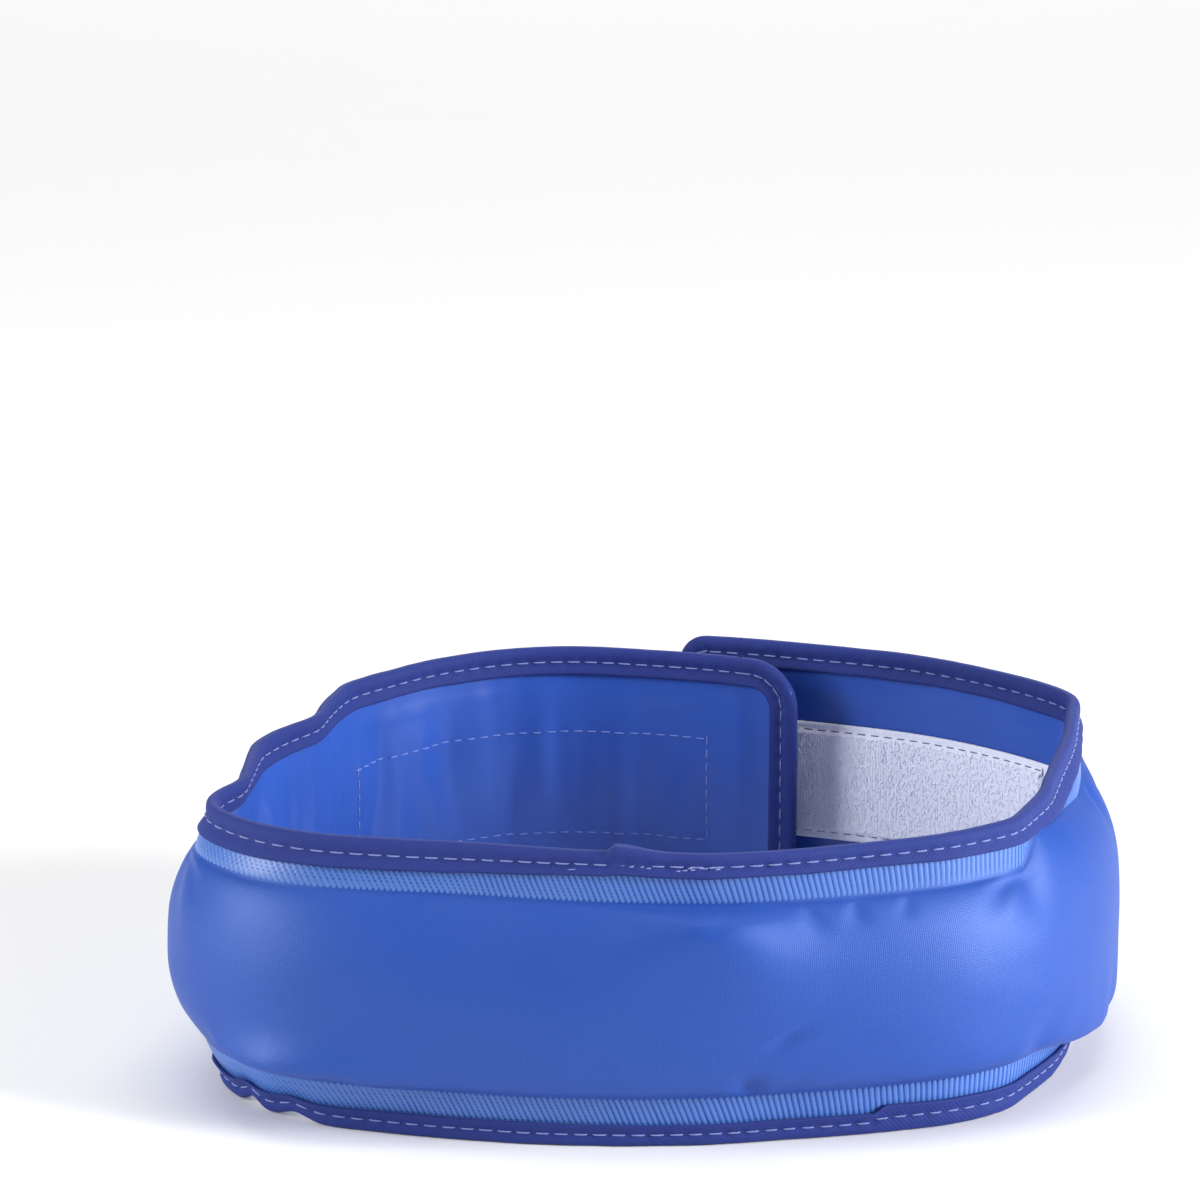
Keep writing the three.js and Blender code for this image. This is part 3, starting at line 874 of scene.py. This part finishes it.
for edge, seed in (("top", 31), ("bottom", 41)):
    run_from = TIP_REACH - RUN_OVERLAP
    run_s = stations(run_from, BAND_LENGTH - run_from, BINDING_STEP)
    run_n, run_depth = binding_shape(run_s, seed)
    run_depth = run_depth * leg_share(edge, run_s)[:, None]
    lift = joint_rise(edge, run_s)[:, None] * np.exp(-run_depth / 3)
    run_depth = run_depth - lift
    run_n = run_n + 0.5 * lift * np.sign(run_n - BAND_THICK / 2)
    run_z = BAND_HEIGHT - run_depth if edge == "top" else run_depth
    points = band(run_s[:, None], run_n, run_z)
    v = np.broadcast_to(section_lengths(*binding_section()), run_n.shape)
    if edge == "bottom":
        points, v = points[:, ::-1], v[:, ::-1]
    uv = np.stack([np.broadcast_to(run_s[:, None], v.shape), v], axis=-1)
    made = band_layer(f"{edge}_binding", run_s, points, uv, binding_tape,
                      f"{edge}_binding")


# ---------------------------------------------------------------------------------------------
# End bindings: the same tape carried round each flap's free end and its two rounded corners.
# ---------------------------------------------------------------------------------------------
END_STEP = 0.6


def end_route(at_start):
    """The band's edge round a flap's tip: down a straight end with a quarter circle at each corner.
    Gives the distance run, s, z and the way in from the edge."""
    radius = TIP_RADII[0 if at_start else 1]
    quarter = math.pi / 2 * radius
    lead = TIP_REACH - radius
    side = BAND_HEIGHT - 2 * radius
    total = 2 * (lead + quarter) + side
    u = np.linspace(0, total, int(total / END_STEP) + 1)
    turn = np.clip((u - lead) / quarter, 0, 1) + np.clip((u - lead - quarter - side) / quarter, 0, 1)
    angle = turn * math.pi / 2
    step = np.gradient(u)
    way_s, way_z = -np.cos(angle), -np.sin(angle)
    s = TIP_REACH + np.concatenate([[0], np.cumsum((way_s * step)[1:])])
    z = BAND_HEIGHT + np.concatenate([[0], np.cumsum((way_z * step)[1:])])
    z = BAND_HEIGHT - (BAND_HEIGHT - z) * BAND_HEIGHT / (BAND_HEIGHT - z[-1])
    s = TIP_REACH * (s - s.min()) / (TIP_REACH - s.min())
    in_s, in_z = np.sin(angle), -np.cos(angle)
    if not at_start:
        s, in_s = BAND_LENGTH - s, -in_s
    return u, s, z, in_s, in_z


for body, at_start, seed in (("inner_flap", True, 61), ("outer_flap", False, 71)):
    run, at_s, at_z, in_s, in_z = end_route(at_start)
    end_n, end_depth = binding_shape(run, seed)
    points = band(at_s[:, None] + in_s[:, None] * end_depth, end_n,
                  at_z[:, None] + in_z[:, None] * end_depth)
    v = np.broadcast_to(section_lengths(*binding_section()), end_n.shape)
    uv = np.stack([np.broadcast_to(run[:, None], v.shape), v], axis=-1)
    if at_start:
        points, uv = points[:, ::-1], uv[:, ::-1]
    piece = make_tube(f"{body}_end_binding_tape", points, grid_normals(points), uv, binding_tape)
    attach(piece, body)
    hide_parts(f"{body}_end_binding")

# ---------------------------------------------------------------------------------------------
# Hook-and-loop closure: 25 mm nylon tape, sewn on flat. The hook half faces out on the inner flap
# and the loop half faces in on the outer flap, so the flaps lap and hold.
# ---------------------------------------------------------------------------------------------
CLOSURE_LOW = 16.5
CLOSURE_HIGH = 41.5
HOOK_FROM, HOOK_TO = 18.0, 104.0
SELVAGE = 1.5
BASE_STEP = 0.5
# The faces that carry hooks or loops, and the backs, as n.
HOOK_FACE, HOOK_BACK = 3.2, 2.7
LOOP_FACE, LOOP_BACK = 0.05, 0.6
# Hooks and loops stand on grids of (along, across), scattered by up to the jitter.
HOOK_PITCH, HOOK_JITTER = (1.6, 1.25), 0.08
LOOP_PITCH, LOOP_JITTER = (0.95, 0.9), 0.35


def closure_base(low, high, face_n, back_n, relief):
    """A woven tape as a closed sheet: a flat selvage along every edge, and between them a face
    raised by the relief. Its back is flat."""
    s = np.linspace(low, high, int((high - low) / BASE_STEP) + 1)
    z = np.linspace(CLOSURE_LOW, CLOSURE_HIGH, int((CLOSURE_HIGH - CLOSURE_LOW) / BASE_STEP) + 1)
    edge = np.minimum.outer(np.minimum(s - low, high - s), np.minimum(z - CLOSURE_LOW, CLOSURE_HIGH - z))
    rise = soft_step(edge, SELVAGE, SELVAGE + 0.5) * relief(s[:, None], z[None])
    n = face_n + rise
    z = np.broadcast_to(z, n.shape)
    outward = face_n > back_n
    order = slice(None) if outward else slice(None, None, -1)
    ring_n = np.concatenate([n[:, order], np.full_like(n, back_n)[:, order][:, ::-1]], axis=1)
    ring_z = np.concatenate([z[:, order], z[:, order][:, ::-1]], axis=1)
    uv = np.stack([np.broadcast_to(s[:, None], ring_z.shape), ring_z], axis=-1)
    return band(s[:, None], ring_n, ring_z), uv


def strand_grid(paths, ref, radius, sides):
    """A tube round each path: at every point a circle across the path's tangent, started from the
    reference way. Paths are (strand, point, xyz), radius is one value for each point."""
    tangent = np.gradient(paths, axis=1)
    tangent /= np.linalg.norm(tangent, axis=2, keepdims=True)
    first = np.cross(ref, tangent)
    first /= np.linalg.norm(first, axis=2, keepdims=True)
    second = np.cross(tangent, first)
    angle = np.linspace(0, 2 * math.pi, sides, endpoint=False)[:, None]
    ring = np.cos(angle) * first[:, :, None] + np.sin(angle) * second[:, :, None]
    return paths[:, :, None] + ring * np.reshape(radius, (1, -1, 1, 1))


def make_strands(name, grid, material):
    """One mesh of many closed tubes: quads between neighbouring circles and a face on each end."""
    count, rings, sides = grid.shape[:3]
    ids = np.arange(count * rings * sides).reshape(count, rings, sides)
    quads = ring_quads(ids)[:, [0, 3, 2, 1]]
    ends = np.concatenate([ids[:, 0, ::-1], ids[:, -1]])
    mesh = bpy.data.meshes.new(name)
    mesh.from_pydata((grid.reshape(-1, 3) / 1000).tolist(), [], [*quads.tolist(), *ends.tolist()])
    mesh.shade_smooth()
    mesh.materials.append(material)
    return add_object(name, mesh)


# Woven nylon ground in a pale lavender, with the pile or the hooks on it in the same yarn.
TAPE_SHADES = ("e0e5fb", "f2f4ff")
GROUND_PITCH = 0.0006


def closure_material():
    material, tree, shader = new_material(
        "woven_nylon_hook_and_loop", Roughness=0.85, Sheen_Weight=0.5, Sheen_Roughness=0.6)
    place = add_node(tree, "TexCoord").outputs["UV"]
    blotch = add_node(tree, "TexNoise", inputs={"Vector": place, "Scale": 900.0, "Detail": 4.0})
    weave = add_node(tree, "TexWave", {"bands_direction": "X"}, {
        "Vector": place, "Scale": 0.314 / GROUND_PITCH, "Distortion": 2.0, "Detail": 2.0})
    colour_and_relief(
        tree, shader, TAPE_SHADES, blotch.outputs["Fac"], weave.outputs["Fac"], 0.4, 0.0001)
    return material


closure_tape = closure_material()
rng = np.random.default_rng(7)


def pile_relief(s, z):
    """The brushed pile: a mat of the yarn with lumps of a millimetre or so."""
    return -(0.62 + 0.16 * layered_noise(s, z, (1.3, 1.1), 81))


def hook_relief(s, z):
    """The hook tape's ground: low cross ribs, one for each row of hooks."""
    return 0.05 * (1 + np.cos(2 * math.pi * s / HOOK_PITCH[0])) + 0 * z


def tape_grid(low, high, pitch, jitter):
    """Scattered places on a tape inside its selvages: a brick grid moved by random steps."""
    pitch_s, pitch_z = pitch
    edge = SELVAGE + 0.5
    s = np.arange(low + edge, high - edge, pitch_s)
    z = np.arange(CLOSURE_LOW + edge, CLOSURE_HIGH - edge, pitch_z)
    s, z = (x.ravel() for x in np.meshgrid(s, z, indexing="ij"))
    s = s + (np.round(z / pitch_z) % 2) * pitch_s / 2
    return s + rng.uniform(-jitter, jitter, len(s)), z + rng.uniform(-jitter, jitter, len(s))


base, base_uv = closure_base(HOOK_FROM, HOOK_TO, HOOK_FACE, HOOK_BACK, hook_relief)
hook_base = make_tube("hook_tape_ground", base, grid_normals(base), base_uv, closure_tape)
hook_s, hook_z = tape_grid(HOOK_FROM, HOOK_TO, HOOK_PITCH, HOOK_JITTER)
# A hook's path from its foot: along the band and up off the tape. Rows face each way in turn.
HOOK_ALONG = np.array([0, 0.0, 0.03, 0.18, 0.4, 0.52, 0.5])
HOOK_UP = np.array([0, 0.35, 0.62, 0.84, 0.86, 0.7, 0.55])
facing = np.where(np.round(hook_z / HOOK_PITCH[1]) % 2 > 0, 1.0, -1.0)[:, None]
hook_paths = band(hook_s[:, None] + facing * HOOK_ALONG, HOOK_FACE + HOOK_UP, hook_z[:, None])
hooks = make_strands("hook_tape_hooks", strand_grid(
    hook_paths, np.array([0, 0, 1.0]), np.full(7, 0.1), 4), closure_tape)

base, base_uv = closure_base(LOOP_FROM, LOOP_TO, LOOP_FACE, LOOP_BACK, pile_relief)
loop_base = make_tube("loop_tape_ground", base, grid_normals(base), base_uv, closure_tape)
loop_s, loop_z = tape_grid(LOOP_FROM, LOOP_TO, LOOP_PITCH, LOOP_JITTER)
# Each loop is half an ellipse that stands out of the pile and is turned by its own random spin.
spin = rng.uniform(0, math.pi, len(loop_s))[:, None]
LOOP_ARC = np.linspace(0, math.pi, 7)
reach = 0.42 * np.cos(LOOP_ARC)
loop_high = -0.5 - rng.uniform(0.12, 0.3, len(loop_s))[:, None] * np.sin(LOOP_ARC)
loop_paths = band(loop_s[:, None] + np.cos(spin) * reach, loop_high,
                  loop_z[:, None] + np.sin(spin) * reach)
loop_along = band_outward(loop_s)[:, [1, 0, 2]] * (-1, 1, 1)
across = -np.sin(spin) * loop_along + np.cos(spin) * np.array([0, 0, 1.0])
loops = make_strands("loop_tape_loops", strand_grid(
    loop_paths, across[:, None], np.full(7, 0.075), 3), closure_tape)
for crossing, body, node, ground, pile, low, high in (
        (CROSSINGS[0], "inner_flap", "hook_tape", hook_base, hooks, HOOK_FROM, HOOK_TO),
        (CROSSINGS[4], "outer_flap", "loop_tape", loop_base, loops, LOOP_FROM, LOOP_TO)):
    for piece in (ground, pile):
        join_to_fold(piece, *crossing)
        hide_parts(node)

# ---------------------------------------------------------------------------------------------
# Stitching: lockstitch in polyester thread, through the bindings all round and round each closure
# tape. Each stitch lies on the cloth and dives into its holes at both ends.
# ---------------------------------------------------------------------------------------------
THREAD_RADIUS = 0.15
THREAD_DIVE = 0.36
STITCH_SHOWS = 1.32
STITCH_FACE = 2.72
# The thread's thickness along a stitch, as shares of its radius.
STITCH_TAPER = np.array([0.45, 0.9, 1, 1, 1, 0.9, 0.45])
TAPE_STITCH_PITCH = 2.9
TAPE_STITCH_SHOWS = 1.1
TAPE_STITCH_INSET = 1.5


def stitch_row(s, z, n, way_s, way_z, side, shows=STITCH_SHOWS):
    """Paths of a row of stitches: straight along the way given, at a height that falls away at
    both ends with the sixth power."""
    t = np.linspace(-1, 1, len(STITCH_TAPER))
    lift = side * (THREAD_RADIUS * 0.6 - THREAD_DIVE * t ** 6)
    z, n, way_s, way_z = (np.broadcast_to(np.asarray(x, float), np.shape(s))[:, None]
                          for x in (z, n, way_s, way_z))
    return np.stack([np.asarray(s)[:, None] + way_s * t * shows, n + lift,
                     z + way_z * t * shows], axis=-1)


def sew(label, rows, material):
    """Makes the rows' stitches, one mesh for each fold's stretch of the band."""
    paths = np.concatenate(rows)
    stretch = np.searchsorted(CUTS, paths[:, len(STITCH_TAPER) // 2, 0], side="right")
    for k, (fold, before, after) in enumerate(CROSSINGS):
        mine = paths[stretch == k]
        if len(mine) == 0:
            continue
        grid = strand_grid(band(mine[..., 0], mine[..., 1], mine[..., 2]),
                           band_outward(mine[..., 0]), THREAD_RADIUS * STITCH_TAPER, 5)
        piece = make_strands(f"{label}_{fold}", grid, material)
        join_to_fold(piece, fold, before, after)


# Spun polyester thread: matt and a little hairy. It is pale on the bindings, grey on the closure
# tapes and blue where the tapes' stitches come through the cover and the lining.
def thread_material(name, dark, light):
    material, tree, shader = new_material(name, Roughness=0.7, Sheen_Weight=0.3)
    place = add_node(tree, "TexCoord").outputs["Object"]
    ply = add_node(tree, "TexNoise", inputs={"Vector": place, "Scale": 3500.0, "Detail": 2.0})
    twist = ply.outputs["Fac"]
    colour_and_relief(tree, shader, (dark, light), twist, twist, 0.4, 0.00006)
    return material


pale_thread = thread_material("pale_polyester_thread", "5f6db0", "8794c8")
grey_thread = thread_material("grey_polyester_thread", "555c86", "6f769c")
blue_thread = thread_material("blue_polyester_thread", "5a72c4", "7f95dd")

holes = np.arange(TIP_REACH, BAND_LENGTH - TIP_REACH, STITCH_PITCH)
between = (np.floor(holes / STITCH_PITCH) + 0.5) * STITCH_PITCH
rows = []
for edge_z in (BAND_HEIGHT - STITCH_DEPTH * leg_share("top", between),
               STITCH_DEPTH * leg_share("bottom", between)):
    for n, side in ((STITCH_FACE, 1), (BAND_THICK - STITCH_FACE, -1)):
        rows.append(stitch_row(between, edge_z, n, 1, 0, side))
# The seam starts and ends at the tape's joint: a second row overlaps it, and both are backtacked.
for first, count, gap, depth in ((259.0, 2, 3.4, 1.2), (267.6, 7, 0.95, 0.2), (279.0, 8, 0.95, 0.5)):
    at = first + gap * np.arange(count) + rng.uniform(-0.3, 0.3, count)
    at_z = BAND_HEIGHT - STITCH_DEPTH * leg_share("top", at) - depth + rng.uniform(-0.45, 0.45, count)
    rows.append(stitch_row(at, at_z, STITCH_FACE + 0.08, 1, 0.12, 1, min(gap, 2.5) / 2))
for at_start in (True, False):
    run, at_s, at_z, in_s, in_z = end_route(at_start)
    centre = (np.arange(int(run[-1] / STITCH_PITCH)) + 0.5) * STITCH_PITCH
    pick = [np.interp(centre, run, values) for values in (at_s, at_z, in_s, in_z)]
    for n, side in ((STITCH_FACE, 1), (BAND_THICK - STITCH_FACE, -1)):
        rows.append(stitch_row(pick[0] + pick[2] * STITCH_DEPTH, pick[1] + pick[3] * STITCH_DEPTH,
                               n, pick[3], -pick[2], side))
sew("binding_stitches", rows, pale_thread)


def round_tape(low, high, n, side):
    """Stitches round a closure tape, just inside its edge: two long rows and two short ones."""
    half = TAPE_STITCH_PITCH / 2
    left, right = low + TAPE_STITCH_INSET, high - TAPE_STITCH_INSET
    under, over = CLOSURE_LOW + TAPE_STITCH_INSET, CLOSURE_HIGH - TAPE_STITCH_INSET
    along = np.arange(left, right - half, TAPE_STITCH_PITCH) + half
    up = np.arange(under, over - half, TAPE_STITCH_PITCH) + half
    return [*(stitch_row(along, z, n, 1, 0, side, TAPE_STITCH_SHOWS) for z in (under, over)),
            *(stitch_row(np.full(len(up), s), up, n, 0, 1, side, TAPE_STITCH_SHOWS)
              for s in (left, right))]


sew("loop_tape_stitches", round_tape(LOOP_FROM, LOOP_TO, LOOP_FACE, -1), grey_thread)
sew("loop_cover_stitches", round_tape(LOOP_FROM, LOOP_TO, COVER_FACE + 0.1, 1), blue_thread)
sew("hook_tape_stitches", round_tape(HOOK_FROM, HOOK_TO, HOOK_FACE, 1), grey_thread)
inside_rows = round_tape(HOOK_FROM, HOOK_TO, 0, -1)
for row in inside_rows:
    row[..., 1] += lining_height(row[:, 3:4, 0], row[:, 3:4, 2])
sew("hook_lining_stitches", inside_rows, blue_thread)


# ---------------------------------------------------------------------------------------------
# Camera, light and floor: a long lens a little above the collar, a soft box at each side, one
# overhead and two that light the sweep behind, and a plain white floor.
# ---------------------------------------------------------------------------------------------
VIEW_CENTRE = np.array([-0.003, -0.0025, 0.029])
VIEW_RANGE = 1.2
VIEW_RISE = math.radians(18)
CENTRE_RIGHT = 0.00742
CENTRE_DOWN = 0.04815
LENS = 181.9
COLLAR = (0, 0, 0.03)


def aim(thing, target):
    """Turns a camera or a lamp to look at a point."""
    way = Vector(target) - thing.location
    thing.rotation_euler = way.to_track_quat("-Z", "Y").to_euler()


camera = add_object("camera", bpy.data.cameras.new("camera"))
back = np.array([0, -math.cos(VIEW_RISE), math.sin(VIEW_RISE)])
up = np.array([0, math.sin(VIEW_RISE), math.cos(VIEW_RISE)])
camera.location = VIEW_CENTRE + VIEW_RANGE * back
camera.data.lens = LENS
camera.data.sensor_width = 36
aim(camera, VIEW_CENTRE + VIEW_RANGE * (CENTRE_DOWN * up - CENTRE_RIGHT * np.array([1, 0, 0])))
bpy.context.scene.camera = camera


def soft_box(name, place, target, size, power):
    """A rectangular white lamp at a place, facing its target. Sizes are metres, power is watts."""
    lamp = bpy.data.lights.new(name, "AREA")
    lamp.shape = "RECTANGLE"
    lamp.size, lamp.size_y = size
    lamp.energy = power
    made = add_object(name, lamp)
    made.location = place
    aim(made, target)


soft_box("left_box", (-1.15, -0.42, 0.5), COLLAR, (0.5, 0.8), 16)
soft_box("right_box", (1.12, -0.42, 0.42), COLLAR, (0.45, 0.7), 26)
soft_box("over_box", (0, 0.05, 1.7), COLLAR, (1.2, 0.7), 8)
soft_box("top_box", (0, 0.9, 2.2), (0, 0.6, 0), (3.2, 3.2), 8)
soft_box("back_box", (0, 2.3, 1.3), (0, 1.7, 0), (3.0, 1.0), 34)

world = bpy.data.worlds.new("studio")
world.use_nodes = True
sky = world.node_tree.nodes["Background"].inputs
sky["Color"].default_value = (1, 1, 1, 1)
sky["Strength"].default_value = 0.06
bpy.context.scene.world = world

floor_mesh = bpy.data.meshes.new("floor")
floor_mesh.from_pydata([(-6, -6, 0), (6, -6, 0), (6, 6, 0), (-6, 6, 0)], [], [(0, 1, 2, 3)])
floor = add_object("floor", floor_mesh)
floor_paint, _, floor_shader = new_material("matt_white_sweep", Roughness=0.9)
floor_shader.inputs["Base Color"].default_value = linear("f4f4f4")
floor_mesh.materials.append(floor_paint)
bpy.context.scene.view_settings.view_transform = "Standard"
